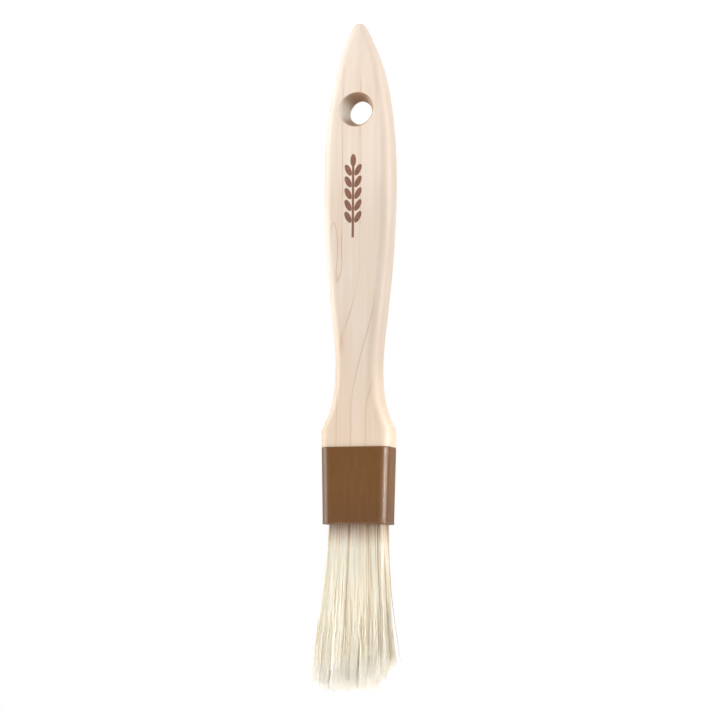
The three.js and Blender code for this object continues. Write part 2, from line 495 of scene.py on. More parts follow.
def make_handle(material):
    rings = handle_rings()
    count = len(rings[0])
    per_corner = HANDLE_STEPS + 3
    back_gap, front_gap = per_corner - 1, 3 * per_corner - 1
    flat_rows = sum(1 for ring in rings if ring[0].z < TIP_Z - TIP_ROUNDING - MM)
    points = [point for ring in rings for point in ring]
    faces = []
    for row in range(len(rings) - 1):
        skip = (back_gap, front_gap) if row < flat_rows - 1 else ()
        faces += ring_faces(row * count, (row + 1) * count, count, skip)
    last = (len(rings) - 1) * count
    faces.append(tuple(range(last, last + count)))
    for gap, side in ((back_gap, 1), (front_gap, -1)):
        one = [ring[gap] for ring in rings[:flat_rows]]
        other = [ring[gap + 1] for ring in rings[:flat_rows]]
        flat_points, triangles = flat_face(one, other, side)
        faces += [tuple(len(points) + i for i in triangle) for triangle in triangles]
        points += flat_points
    for first, second in zip(bore_rings(), bore_rings()[1:]):
        faces += ring_faces(len(points), len(points) + HOLE_SEGMENTS, HOLE_SEGMENTS)
        points += first + second
    tenon_top = section(TENON_HALF_WIDTH, TENON_HALF_THICKNESS, MM, SHOULDER_Z, HANDLE_STEPS)
    tenon_end = section(TENON_HALF_WIDTH, TENON_HALF_THICKNESS, MM, handle_low.z, HANDLE_STEPS)
    start = len(points)
    points += tenon_top + tenon_end
    faces += ring_faces(0, start, count) + ring_faces(start, start + count, count)
    faces.append(tuple(range(start + count, start + 2 * count)))
    points = [Vector((p.x - tip_lean(p.z), p.y, p.z)) for p in points]
    return solid("maple_handle", points, faces, material)


# %% [markdown]
# ## Ferrule
#
# The ferrule is one injection moulding: a sleeve with a constant wall, slightly narrower at the
# mouth so that it leaves the mould, and a fine bead along the mouth. The wall's section
# is drawn once as a closed line, and swept around the rounded rectangle.

# %% Ferrule mesh
FERRULE_STEPS = 14
FERRULE_CORNER = 3.4 * MM
FERRULE_WALL = 0.85 * MM
FERRULE_MOUTH_HALF_WIDTH = 11.45 * MM
FERRULE_EDGE = 0.22 * MM
BEAD = 0.55 * MM
BEAD_PROUD = 0.09 * MM
WALL_ROWS = 12


def ferrule_wall():
    """The wall's closed section as (inset from the outer face, height) from the top inside edge."""
    top, mouth = ferrule_high.z, ferrule_low.z
    quarter = [step * math.pi / 2 / 5 for step in range(6)]
    wall = [(FERRULE_WALL, top - FERRULE_EDGE), (FERRULE_WALL - FERRULE_EDGE, top)]
    wall += [
        (FERRULE_EDGE * (1 - math.sin(a)), top - FERRULE_EDGE * (1 - math.cos(a))) for a in quarter
    ]
    for row in range(1, WALL_ROWS):
        share = row / WALL_ROWS
        wall.append((0, top + (mouth + BEAD - top) * share))
    wall.append((0, mouth + BEAD + 0.1 * MM))
    wall += [
        (-BEAD_PROUD * math.sin(math.pi * share) ** 0.7, mouth + BEAD * (1 - share))
        for share in (0, 0.15, 0.3, 0.5, 0.7, 0.85)
    ]
    wall += [(0.12 * MM, mouth), (FERRULE_WALL - 0.2 * MM, mouth), (FERRULE_WALL, mouth + 0.2 * MM)]
    return wall


def make_ferrule(material):
    rings = []
    for inset, z in ferrule_wall():
        down = (ferrule_high.z - z) / (ferrule_high.z - ferrule_low.z)
        half_width = ferrule_high.x + (FERRULE_MOUTH_HALF_WIDTH - ferrule_high.x) * down - inset
        radius = FERRULE_CORNER - inset
        rings.append(section(half_width, ferrule_high.y - inset, radius, z, FERRULE_STEPS))
    count = len(rings[0])
    points = [point for ring in rings for point in ring]
    faces = []
    for row in range(len(rings)):
        faces += ring_faces(row * count, (row + 1) % len(rings) * count, count)
    return solid("moulded_ferrule", points, faces, material)


# %% [markdown]
# ## Maple
#
# The board is flat-sawn maple: the growth rings run nearly along it, so only a few of their edges
# show on a brush, with an eye where a ring just breaks the surface. A wood texture node
# gives evenly spaced rings that look printed. Instead a ring number is worked out for every
# point: each whole number is one ring's dark edge. A hill added to the ring number closes one
# edge into the eye. The bore gets its own tones: dark where it cuts across the grain, painted
# shade on its right wall and a painted highlight on its left wall. Towards the ferrule the maple
# is darkened with painted shade.

# %% Maple: growth rings
RING_A = {"x": 1.6, "drift": 7.8, "from": 54, "to": 90}
RING_B = {"x": 7.9, "drift": 9.0, "from": 56, "to": 106}
EYE = {"x": -8.3, "z": -49.2, "width": 1.7, "height": 12.4, "rise": 0.95}
EAR_X = -0.9
EAR_FOOT_Z = -45
EAR_STEM = 5.2
EAR_PITCH = 4.1
EAR_LENGTH = 5 * EAR_PITCH
GRAIN_TURN = math.radians(27)
GRAIN_ACROSS = 1.75
GRAIN_HALF_WIDTH = 1.0
GRAIN_HALF_LENGTH = 0.55 * EAR_PITCH
TOP_GRAIN_RISE = 1.3
TOP_GRAIN_HALF_WIDTH = 1.05
TOP_GRAIN_HALF_LENGTH = 2.3


def ring_number(graph, x, y, z):
    """Counts growth rings across the board: each whole number is one ring's edge."""
    def edge(ring):
        return ring["x"] - ring["drift"] * graph.smooth(-z, ring["from"], ring["to"])
    wander = graph.noise(graph.combine(x * 0.05, y * 0.05, z * 0.035), 1.0, 1.0) - 0.5
    across = x + 0.16 * (y + HANDLE_HALF_THICKNESS / MM) + 0.9 * wander
    first = edge(RING_A)
    rings = (across - first) / (edge(RING_B) - first)
    eye_x = (x - EYE["x"]) / EYE["width"]
    eye_z = (z - EYE["z"]) / EYE["height"]
    hill = EYE["rise"] * graph.math("EXPONENT", -(eye_x * eye_x + eye_z * eye_z))
    return rings + hill


def burned_ear(graph, x, y, z):
    """A plain ear of grain, burned into the front face: 1 inside the mark."""
    across = abs(x - EAR_X)
    along = z - EAR_FOOT_Z
    ear_top = EAR_STEM + EAR_LENGTH
    in_ear = graph.smooth(along, EAR_STEM - 0.2, EAR_STEM) * (
        1 - graph.smooth(along, ear_top - 0.2, ear_top)
    )
    cell = graph.math("FLOORED_MODULO", along - EAR_STEM, EAR_PITCH) - EAR_PITCH / 2
    beside = across - GRAIN_ACROSS
    sine, cosine = math.sin(GRAIN_TURN), math.cos(GRAIN_TURN)
    long_way = (beside * sine + cell * cosine) / GRAIN_HALF_LENGTH
    short_way = (beside * cosine - cell * sine) / GRAIN_HALF_WIDTH
    grains = (1 - graph.smooth(long_way * long_way + short_way * short_way, 0.8, 1.1)) * in_ear
    top_z = (along - (ear_top + TOP_GRAIN_RISE)) / TOP_GRAIN_HALF_LENGTH
    top_x = across / TOP_GRAIN_HALF_WIDTH
    top_grain = 1 - graph.smooth(top_z * top_z + top_x * top_x, 0.8, 1.1)
    stem = (1 - graph.smooth(across, 0.34, 0.5)) * graph.smooth(along, 0, 0.3)
    stem = stem * (1 - graph.smooth(along, ear_top, ear_top + 0.5))
    mark = graph.math("MAXIMUM", graph.math("MAXIMUM", grains, top_grain), stem)
    face = HANDLE_HALF_THICKNESS / MM
    return mark * graph.smooth(-y, face - 0.4, face - 0.2)


# %% Maple: the finish
MAPLE_LIGHT = linear(239, 223, 208)
MAPLE_WARM = linear(235, 216, 198)
MAPLE_TAN = linear(214, 184, 150)
MAPLE_LINE = linear(190, 150, 116)
MAPLE_FLECK = linear(206, 158, 112)
BORE_DARK_GRAIN_AND_SHADE = linear(146, 104, 66)
BORE_PAINTED_LIGHT = linear(255, 246, 232)
BURN_DARK = linear(104, 50, 22)
BURN_LIGHT = linear(142, 80, 44)
FLECK = {"x": -4.6, "z": -81.5, "width": 0.75, "height": 3.6}


def maple_material():
    material, graph = new_material("lacquered_maple")
    point = position_mm(graph)
    x, y, z = graph.split(point)
    rings = ring_number(graph, x, y, z)
    share = graph.math("FRACT", rings)
    late_wood = share**4
    line = 1 - graph.smooth(graph.math("PINGPONG", rings, 0.5), 0.012, 0.05)
    patches = graph.noise(graph.combine(x * 0.1, y * 0.1, z * 0.06), 1.0)
    line_strength = graph.smooth(patches, 0.35, 0.65)
    fibres = graph.noise(graph.combine(x * 2.6, y * 2.6, z * 0.09), 1.0, 3.0, 0.6)
    streaks = graph.noise(graph.combine(x * 0.55, y * 0.7, z * 0.02), 1.0, 3.0)
    clouds = graph.noise(graph.combine(x * 0.12, y * 0.12, z * 0.035), 1.0, 2.0)
    rays = graph.noise(graph.combine(x * 1.6, y * 1.3, z * 5.5), 1.0, 1.0)
    side_face = graph.smooth(4.9 - abs(y), -0.4, 1.2)
    front_face = (1 - side_face) * (1 - graph.smooth(x, 5.5, 7.5))
    ray_flecks = graph.smooth(rays, 0.56, 0.7) * side_face * graph.smooth(clouds, 0.4, 0.55)
    foot_flecks = graph.smooth(rays, 0.58, 0.7) * graph.smooth(-z, 106, 111) * graph.smooth(
        -abs(x + 1.5), -4.5, -1.5
    )
    colour = graph.mix(graph.smooth(clouds, 0.3, 0.7), MAPLE_LIGHT, MAPLE_WARM)
    colour = graph.mix(graph.smooth(streaks, 0.35, 0.7) * 0.22, colour, MAPLE_TAN)
    colour = graph.mix(late_wood * 0.12, colour, MAPLE_TAN)
    colour = graph.mix(graph.smooth(fibres, 0.52, 0.75) * 0.12, colour, MAPLE_TAN)
    colour = graph.mix(line * front_face * (0.14 + 0.34 * line_strength), colour, MAPLE_LINE)
    colour = graph.mix((ray_flecks + foot_flecks) * 0.25, colour, MAPLE_TAN)
    fleck_x = (x - FLECK["x"]) / FLECK["width"]
    fleck_z = (z - FLECK["z"]) / FLECK["height"]
    fleck = graph.math("EXPONENT", -(fleck_x * fleck_x + fleck_z * fleck_z))
    colour = graph.mix(fleck * 0.4, colour, MAPLE_FLECK)
    from_hole = graph.vector("LENGTH", graph.combine(x, 0.0, z), output="Value")
    bore = 1 - graph.smooth(from_hole, HOLE_RADIUS / MM + 0.05, HOLE_RADIUS / MM + 0.4)
    end_grain = graph.smooth(abs(z) / from_hole, 0.15, 0.95)
    turns = graph.noise(graph.combine(0.0, y * 5.0, 0.0), 1.0, 2.0)
    # Painted highlight: the bore's left wall is made pale, as if lit from the right.
    colour = graph.mix(bore * graph.smooth(-x, 0.5, 4.0), colour, BORE_PAINTED_LIGHT)
    # The bore is darker across the grain at its top and bottom, and its right wall gets painted
    # shade.
    end_grain_and_shade = graph.math("MAXIMUM", end_grain, 0.7 * graph.smooth(x, 1.5, 4.5))
    colour = graph.mix(bore * end_grain_and_shade * (0.75 + 0.2 * turns), colour, BORE_DARK_GRAIN_AND_SHADE)
    # Painted shade: the maple is darkened towards the ferrule.
    colour = graph.mix(graph.smooth(-z, 55, 118) * 0.38, colour, MAPLE_TAN)
    mark = burned_ear(graph, x, y, z)
    char = graph.noise(point, 2.2, 3.0)
    burned = graph.mix(graph.smooth(char, 0.35, 0.7), BURN_DARK, BURN_LIGHT)
    colour = graph.mix(mark * 0.92, colour, burned)
    height = fibres * 0.5 + streaks * 0.3 - line * 0.2 - mark * 2.0
    bump = graph.node(
        "ShaderNodeBump", None, {"Strength": 0.35, "Distance": 0.00004, "Height": height}
    )
    roughness = 0.42 + 0.1 * fibres + 0.25 * mark + 0.15 * bore
    finish_material(
        graph,
        Base_Color=colour,
        Roughness=roughness,
        Specular_IOR_Level=0.6,
        Normal=bump,
    )
    return material


maple = maple_material()
print("maple", len(maple.node_tree.nodes), "nodes")

# %% [markdown]
# ## Ferrule plastic
#
# The ferrule is moulded in one brown. What makes it read as plastic is the gloss: a fine
# orange-peel from the mould, slight rub marks, and a lip a touch paler than the rest. The sleeve
# is slightly deeper in tone towards its mouth.

# %% Ferrule finish
FERRULE_BROWN = linear(109, 68, 18)
FERRULE_RUBBED = linear(115, 74, 26)
FERRULE_SHADE = linear(70, 38, 8)
FERRULE_LIP = linear(120, 76, 38)


def ferrule_material():
    material, graph = new_material("moulded_brown_plastic")
    point = position_mm(graph)
    x, y, z = graph.split(point)
    clouds = graph.noise(point, 0.22, 2.0)
    rub = graph.noise(graph.combine(x * 0.9, y * 0.9, z * 0.12), 1.0, 3.0, 0.6)
    peel = graph.noise(point, 1.6, 1.0)
    grit = graph.noise(point, 9.0, 1.0)
    lip = 1 - graph.smooth(z - ferrule_low.z / MM, 0.45, 0.7)
    colour = graph.mix(graph.smooth(clouds, 0.3, 0.75) * 0.3, FERRULE_BROWN, FERRULE_RUBBED)
    low = graph.smooth(ferrule_high.z / MM - z, 12, 25)
    colour = graph.mix(low * 0.25, colour, FERRULE_SHADE)
    colour = graph.mix(lip * 0.4, colour, FERRULE_LIP)
    bump = graph.node(
        "ShaderNodeBump",
        None,
        {"Strength": 0.3, "Distance": 0.00005, "Height": peel * 0.7 + grit * 0.08 + rub * 0.1},
    )
    roughness = 0.36 + 0.1 * graph.smooth(rub, 0.4, 0.75)
    finish_material(
        graph,
        Base_Color=colour,
        Roughness=roughness,
        Specular_IOR_Level=0.75,
        Normal=bump,
    )
    return material


brown_plastic = ferrule_material()

# %% [markdown]
# ## Finishes inside the ferrule
#
# The resin and the filler strip are hidden by the bristles, but show if the brush is taken
# apart, so they get plain finishes of their own.

# %% Resin and filler finishes


def resin_material():
    material, graph = new_material("setting_resin")
    point = position_mm(graph)
    bubbles = graph.noise(point, 1.4, 3.0)
    colour = graph.mix(bubbles, linear(70, 52, 34), linear(96, 74, 50))
    finish_material(graph, Base_Color=colour, Roughness=0.45 + 0.2 * bubbles)
    return material


def filler_material():
    material, graph = new_material("sawn_filler")
    x, y, z = graph.split(position_mm(graph))
    grain = graph.noise(graph.combine(x * 0.2, y * 3.0, z * 2.0), 1.0, 3.0)
    colour = graph.mix(grain, linear(170, 128, 86), linear(204, 166, 120))
    finish_material(graph, Base_Color=colour, Roughness=0.7 + 0.1 * grain)
    return material


frame["nodes"]["resin_block"].data.materials[0] = resin_material()
frame["nodes"]["filler_strip"].data.materials[0] = filler_material()
print("hidden finishes set")

# %% [markdown]
# ## Bristle finish
#
# Bleached bristle is ivory, with some strands left golden. Near the ferrule it is browner: glue
# that has wicked up, and painted shade under the ferrule's mouth. The tree that grows the strands
# stores two numbers on each of them, a tone and the share of its free length, and the finish reads
# those.

# %% Bristle material
IVORY = linear(253, 249, 236)
CREAM = linear(248, 236, 210)
GOLDEN = linear(192, 158, 106)
UMBER = linear(156, 98, 36)
TIP_PALE = linear(255, 251, 244)


def bristle_material():
    material, graph = new_material("natural_bristle")
    tone = graph.node("ShaderNodeAttribute", {"attribute_name": "tone"}, None, "Fac")
    along = graph.node("ShaderNodeAttribute", {"attribute_name": "along"}, None, "Fac")
    colour = graph.mix(graph.smooth(tone, 0.25, 0.8), IVORY, CREAM)
    colour = graph.mix(graph.smooth(tone, 0.84, 0.96) * 0.85, colour, GOLDEN)
    colour = graph.mix(graph.smooth(along, 0.72, 0.95) * 0.75, colour, TIP_PALE)
    # Browner near the mouth: glue that has wicked up, and painted shade under the ferrule.
    glue_and_shade = 1 - graph.smooth(along, -0.01, 0.16)
    colour = graph.mix(glue_and_shade * (0.35 + 0.5 * tone), colour, UMBER)
    finish_material(
        graph, Base_Color=colour, Roughness=0.45 + 0.1 * tone, Specular_IOR_Level=0.3
    )
    return material


bristle = bristle_material()
for row in ("front", "back"):
    frame["nodes"][f"bristle_roots_{row}"].data.materials[0] = bristle
print("bristle finish set")

# %% [markdown]
# ## Bristles
#
# A hair system would draw strands quickly, but it isn't a mesh, and the worn flare of a used
# pack is easier to state as sums. So one Geometry Nodes tree grows a lock: it scatters roots over
# the lock's mouth, puts a straight curve on each, and moves every point of that curve by
# where its root lies and how far down it is. Strands are pulled into small clumps, each leans
# and waves a little by itself, and a few stray. A real pack has far more bristles than a mesh can
# carry, and nothing shows between them. So a ridged core, shaped by the same sums, fills the
# middle of the lock. The lock's inputs are named, and its seed is fixed.

# %% The tree that grows a lock of bristles
STRAND_POINTS = 10
STRAND_SIDES = 4
LOCK_INPUTS = {
    "Low Corner": "NodeSocketVector",
    "High Corner": "NodeSocketVector",
    "Mouth Height": "NodeSocketFloat",
    "Pack Half Width": "NodeSocketFloat",
    "Pack Half Thickness": "NodeSocketFloat",
    "Pack Length": "NodeSocketFloat",
    "Left Flare": "NodeSocketFloat",
    "Right Flare": "NodeSocketFloat",
    "Depth Flare": "NodeSocketFloat",
    "Left Wear": "NodeSocketFloat",
    "Right Wear": "NodeSocketFloat",
    "Ragged": "NodeSocketFloat",
    "Clump Size": "NodeSocketFloat",
    "Clump Pull": "NodeSocketFloat",
    "Lean": "NodeSocketFloat",
    "Stray": "NodeSocketFloat",
    "Wave": "NodeSocketFloat",
    "Spacing": "NodeSocketFloat",
    "Strand Radius": "NodeSocketFloat",
    "Core Share": "NodeSocketFloat",
    "Seed": "NodeSocketInt",
    "Finish": "NodeSocketMaterial",
}


def store(graph, geometry, name, value, data_type="FLOAT"):
    settings = {"data_type": data_type, "domain": "POINT"}
    values = {"Geometry": geometry, "Name": name, "Value": value}
    return graph.node("GeometryNodeStoreNamedAttribute", settings, values)


def stored(graph, name, data_type="FLOAT"):
    return graph.node("GeometryNodeInputNamedAttribute", {"data_type": data_type}, {"Name": name})


def random_number(graph, seed, low, high):
    values = {"Min_001": low, "Max_001": high, "Seed": seed}
    return graph.node("FunctionNodeRandomValue", {"data_type": "FLOAT"}, values, "Value_001")


def scatter_roots(graph, inputs):
    """Points over the lock's mouth, each with its root, tone, reach and lean stored on it."""
    size = graph.vector("SUBTRACT", inputs["High Corner"], inputs["Low Corner"])
    middle = graph.scale(graph.vector("ADD", inputs["High Corner"], inputs["Low Corner"]), 0.5)
    width, thickness, _ = graph.split(size)
    grid = graph.node(
        "GeometryNodeMeshGrid",
        None,
        {"Size X": width, "Size Y": thickness, "Vertices X": 2, "Vertices Y": 2},
    )
    patch = graph.node("GeometryNodeTransform", None, {"Geometry": grid, "Translation": middle})
    density = 2.0 / (inputs["Spacing"] * inputs["Spacing"])
    points = graph.node(
        "GeometryNodeDistributePointsOnFaces",
        {"distribute_method": "POISSON"},
        {
            "Mesh": patch,
            "Distance Min": inputs["Spacing"],
            "Density Max": density,
            "Seed": inputs["Seed"],
        },
    )
    position = graph.node("GeometryNodeInputPosition")
    points = store(graph, points, "root", position, "FLOAT_VECTOR")
    points = store(graph, points, "tone", random_number(graph, inputs["Seed"] + 1, 0.0, 1.0))
    points = store(graph, points, "reach", random_number(graph, inputs["Seed"] + 2, 0.0, 1.0))
    stray = random_number(graph, inputs["Seed"] + 3, 0.0, 1.0) ** 12
    amount = inputs["Lean"] + inputs["Stray"] * stray
    lean = graph.node(
        "FunctionNodeRandomValue",
        {"data_type": "FLOAT_VECTOR"},
        {"Min": (-1, -1, -0.3), "Max": (1, 1, 0.3), "Seed": inputs["Seed"] + 4},
    )
    return store(graph, points, "lean", graph.scale(lean, amount), "FLOAT_VECTOR")


def straight_strands(graph, points):
    """One curve on every root, with each point's share of the way to the tip stored on it."""
    line = graph.node("GeometryNodeCurvePrimitiveLine", None, {"End": (0, 0, -0.01)})
    line = graph.node("GeometryNodeResampleCurve", None, {"Curve": line, "Count": STRAND_POINTS})
    share = graph.node("GeometryNodeSplineParameter")
    line = store(graph, line, "share", share)
    strands = graph.node("GeometryNodeInstanceOnPoints", None, {"Points": points, "Instance": line})
    return graph.node("GeometryNodeRealizeInstances", None, {"Geometry": strands})


def clump_centre(graph, root, size):
    """The middle of the clump that a root belongs to, shifted at random within its cell."""
    x, y, _ = graph.split(root)
    cell = graph.combine(graph.math("FLOOR", x / size), graph.math("FLOOR", y / size), 0.0)
    shift = graph.node("ShaderNodeTexWhiteNoise", {"noise_dimensions": "3D"}, {0: cell}, "Color")
    return graph.scale(graph.vector("ADD", cell, shift), size)


def worn_length(graph, inputs, across):
    """The free length of a strand whose root lies across of the way from the middle."""
    left = graph.math("MAXIMUM", -across, 0.0) ** 5
    right = graph.math("MAXIMUM", across - 0.4, 0.0) / 0.6
    reach = stored(graph, "reach")
    length = inputs["Pack Length"] - inputs["Left Wear"] * left
    return length - inputs["Right Wear"] * right - inputs["Ragged"] * reach * reach


def strand_places(graph, inputs):
    """Where each point of each strand goes, and how far down the free length it is."""
    root = stored(graph, "root", "FLOAT_VECTOR")
    share = stored(graph, "share")
    root_x, root_y, root_z = graph.split(root)
    centre_x, centre_y, _ = graph.split(clump_centre(graph, root, inputs["Clump Size"]))
    set_depth = root_z - inputs["Mouth Height"]
    free = worn_length(graph, inputs, root_x / inputs["Pack Half Width"])
    down = share * (set_depth + free)
    out = graph.math("MAXIMUM", (down - set_depth) / inputs["Pack Length"], 0.0)
    pull = inputs["Clump Pull"] * graph.smooth(out, 0.1, 1.0)
    x = root_x + pull * (centre_x - root_x)
    y = root_y + pull * (centre_y - root_y)
    across = x / inputs["Pack Half Width"]
    spread = out**1.25
    flare = inputs["Right Flare"] * graph.math("MAXIMUM", across, 0.0)
    flare = flare - inputs["Left Flare"] * graph.math("MAXIMUM", -across, 0.0)
    depth = inputs["Depth Flare"] * y / inputs["Pack Half Thickness"]
    place = graph.combine(x + flare * spread, y + depth * spread, root_z - down)
    sway = graph.node("ShaderNodeTexNoise", None, {
        "Vector": graph.combine(x * 260, y * 260, down * 45),
        "Scale": 1.0,
        "Detail": 1.0,
    }, "Color")
    curl = graph.node("ShaderNodeTexNoise", None, {
        "Vector": graph.combine(root_x * 4000, root_y * 4000, down * 70),
        "Scale": 1.0,
        "Detail": 0.0,
    }, "Color")
    sway = graph.vector("SUBTRACT", sway, (0.5, 0.5, 0.5))
    curl = graph.vector("SUBTRACT", curl, (0.5, 0.5, 0.5))
    sway = graph.scale(sway, inputs["Wave"] * out)
    curl = graph.scale(curl, inputs["Wave"] * 0.45 * out)
    lean = graph.scale(stored(graph, "lean", "FLOAT_VECTOR"), out * out)
    moves = graph.vector("ADD", graph.vector("ADD", sway, curl), lean)
    return graph.vector("ADD", place, moves), out


CORE_COLUMNS = {"Vertices X": 28, "Vertices Y": 22, "Vertices Z": 10}
CORE_RIDGE = 0.25 * MM


def dense_core(graph, inputs):
    """A ridged block that stands for the strands packed too deep to be told apart. It carries
    the same attributes as the strands, so the same sums flare it."""
    cube = graph.node("GeometryNodeMeshCube", None, {"Size": (1, 1, 1), **CORE_COLUMNS})
    x, y, z = graph.split(graph.node("GeometryNodeInputPosition"))
    low_x, low_y, low_z = graph.split(inputs["Low Corner"])
    high_x, high_y, _ = graph.split(inputs["High Corner"])
    share = (0.5 - z) * inputs["Core Share"]
    inset = 0.96 - 0.12 * graph.smooth(share, 0.5, 0.9)
    root = graph.combine(
        (low_x + (x + 0.5) * (high_x - low_x)) * inset,
        (low_y + (y + 0.5) * (high_y - low_y)) * (inset - 0.03),
        low_z,
    )
    column_x = graph.math("ROUND", x * (CORE_COLUMNS["Vertices X"] - 1))
    column_y = graph.math("ROUND", y * (CORE_COLUMNS["Vertices Y"] - 1))
    column = graph.combine(column_x, column_y, inputs["Seed"])
    number = graph.node("ShaderNodeTexWhiteNoise", {"noise_dimensions": "3D"}, {0: column})
    ridge = graph.combine(0.0, (number - 0.5) * CORE_RIDGE, 0.0)
    cube = store(graph, cube, "share", share)
    cube = store(graph, cube, "root", root, "FLOAT_VECTOR")
    cube = store(graph, cube, "tone", number)
    cube = store(graph, cube, "reach", 0.5)
    return store(graph, cube, "lean", ridge, "FLOAT_VECTOR")


def bristle_tree():
    tree = bpy.data.node_groups.new("bristle_lock", "GeometryNodeTree")
    tree.interface.new_socket("Geometry", in_out="OUTPUT", socket_type="NodeSocketGeometry")
    for name, kind in LOCK_INPUTS.items():
        tree.interface.new_socket(name, in_out="INPUT", socket_type=kind)
    graph = Graph(tree)
    group = graph.raw("NodeGroupInput")
    inputs = {name: Wire(graph, group.outputs[name]) for name in LOCK_INPUTS}
    places, out = strand_places(graph, inputs)
    strands = straight_strands(graph, scatter_roots(graph, inputs))
    core = dense_core(graph, inputs)
    strands, core = [
        store(graph, graph.node(
            "GeometryNodeSetPosition", None, {"Geometry": part, "Position": places}
        ), "along", out)
        for part in (strands, core)
    ]
    ring = graph.node(
        "GeometryNodeCurvePrimitiveCircle",
        None,
        {"Resolution": STRAND_SIDES, "Radius": inputs["Strand Radius"]},
    )
    taper = 1 - 0.45 * graph.smooth(stored(graph, "share"), 0.55, 1.0)
    mesh = graph.node(
        "GeometryNodeCurveToMesh",
        None,
        {"Curve": strands, "Profile Curve": ring, "Scale": taper, "Fill Caps": True},
    )
    joined = graph.raw("GeometryNodeJoinGeometry")
    for part in (core, mesh):
        tree.links.new(part.socket, joined.inputs[0])
    mesh = Wire(graph, joined.outputs[0])
    for name in ("root", "share", "reach", "lean"):
        mesh = graph.node("GeometryNodeRemoveAttribute", None, {"Geometry": mesh, "Name": name})
    mesh = graph.node("GeometryNodeSetShadeSmooth", None, {"Geometry": mesh, "Shade Smooth": True})
    mesh = graph.node("GeometryNodeRealizeInstances", None, {"Geometry": mesh})
    values = {"Geometry": mesh, "Material": inputs["Finish"]}
    mesh = graph.node("GeometryNodeSetMaterial", None, values)
    graph.raw("NodeGroupOutput", None, {"Geometry": mesh})
    return tree


lock_tree = bristle_tree()
print("bristle tree", len(lock_tree.nodes), "nodes")

# %% [markdown]
# ## Growing the pack
#
# The pack is grown lock by lock, as the CAD divides it, so each piece stays light. A lock's mouth
# is measured on its CAD node, just inside the ferrule. Strands start at the resin, so
# the pack is one with its setting when it is seen from below.

# %% Lock sizes from the frame
MOUTH_Z = ferrule_low.z
ROOT_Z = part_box("bristle_roots_front")[0].z - 0.05 * MM
LOCKS = [name for name in sorted(frame["nodes"]) if name.startswith("bristle_lock")]
PACK_SQUEEZE = 0.965
PACK_SHIFT = 0.2 * MM


def mouth_span(node):
    """Lowest and highest corners of a lock where it stands in the ferrule's mouth."""
    inside = [v.co for v in frame["nodes"][node].data.vertices if v.co.z > MOUTH_Z - 0.1 * MM]
    low = Vector((min(c.x for c in inside), min(c.y for c in inside), ROOT_Z))
    high = Vector((max(c.x for c in inside), max(c.y for c in inside), ROOT_Z))
    for corner in (low, high):
        corner.x = PACK_SQUEEZE * corner.x + PACK_SHIFT
    return low, high


mouths = [mouth_span(node) for node in LOCKS]
pack_low = Vector([min(low[axis] for low, _ in mouths) for axis in range(3)])
pack_high = Vector([max(high[axis] for _, high in mouths) for axis in range(3)])
for name, corner in (("low", pack_low), ("high", pack_high)):
    print("pack at the mouth,", name, "corner, mm", [round(c / MM, 1) for c in corner])

# %% Grow the locks
PACK = {
    "Mouth Height": MOUTH_Z,
    "Pack Half Width": pack_high.x,
    "Pack Half Thickness": pack_high.y,
    "Pack Length": 55.2 * MM,
    "Left Flare": 6.1 * MM,
    "Right Flare": 2.9 * MM,
    "Depth Flare": 2.2 * MM,
    "Left Wear": 3.0 * MM,
    "Right Wear": 9.5 * MM,
    "Ragged": 3.0 * MM,
    "Clump Size": 1.7 * MM,
    "Clump Pull": 0.25,
    "Lean": 0.8 * MM,
    "Stray": 3.5 * MM,
    "Wave": 2.2 * MM,
    "Spacing": 0.155 * MM,
    "Strand Radius": 0.095 * MM,
    "Core Share": 0.9,
    "Finish": bristle,
}


def grow_lock(node, seed):
    """The lock's strands as a plain mesh object that stands for its CAD node."""
    low, high = mouth_span(node)
    values = dict(PACK, **{"Low Corner": low, "High Corner": high, "Seed": seed})
    carrier = bpy.data.objects.new("carrier", bpy.data.meshes.new("carrier"))
    bpy.context.scene.collection.objects.link(carrier)
    modifier = carrier.modifiers.new("grow", "NODES")
    modifier.node_group = lock_tree
    for item in lock_tree.interface.items_tree:
        if item.in_out == "INPUT":
            modifier[item.identifier] = values[item.name]
    evaluated = carrier.evaluated_get(bpy.context.evaluated_depsgraph_get())
    mesh = bpy.data.meshes.new_from_object(evaluated)
    bpy.data.objects.remove(carrier)
    mesh.name = node.replace("bristle_lock", "bristles")
    made = bpy.data.objects.new(mesh.name, mesh)
    bpy.context.scene.collection.objects.link(made)
    return made


locks = {node: grow_lock(node, 101 + 10 * index) for index, node in enumerate(LOCKS)}
print("strand faces", {node: len(lock.data.polygons) for node, lock in locks.items()})

# %% [markdown]
# ## Assembly
#
# The handle and ferrule stand for their CAD nodes and ride on the brush's body. Each lock stands
# for its CAD node where it was grown.

# %% Pieces onto the frame
handle = make_handle(maple)
ferrule = make_ferrule(brown_plastic)
for piece, node, slot in ((handle, "handle", "maple"), (ferrule, "ferrule", "ferrule_plastic")):
    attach(piece, bend["parent"])
    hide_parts(node)
for node, lock in locks.items():
    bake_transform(lock)
    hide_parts(node)
print("pieces placed")

# %% [markdown]
# ## Light and stage
#
# A pale object on white needs light that wraps around it, with one side a little brighter, or it
# turns into a flat cut-out. The sky gives the wrap: it is white near the horizon and grey below
# and above, where a large key light and a fill take over. Two dark patches in the sky act
# as flags: the ferrule's flat faces mirror them, so its brown stays deep instead of turning
# milky. A strip at the right and a softbox at the left draw the soft lines of gloss
# on the ferrule's rounded corners. Small lights with grids pick out the bristles, the ferrule's
# corner and the hole's bore, and leave the rest alone. Boosting one large light instead would
# burn out the maple. The floor is plain, and wide enough to fill a view from above; from low
# down its far edge shows as a horizon.

# %% Sky
SKY_WHITE = (1, 1, 1, 1)
SKY_LOW = (0.42, 0.41, 0.4, 1)
SKY_HIGH = (0.5, 0.5, 0.5, 1)
FLAG_GREY = (0.12, 0.12, 0.12, 1)


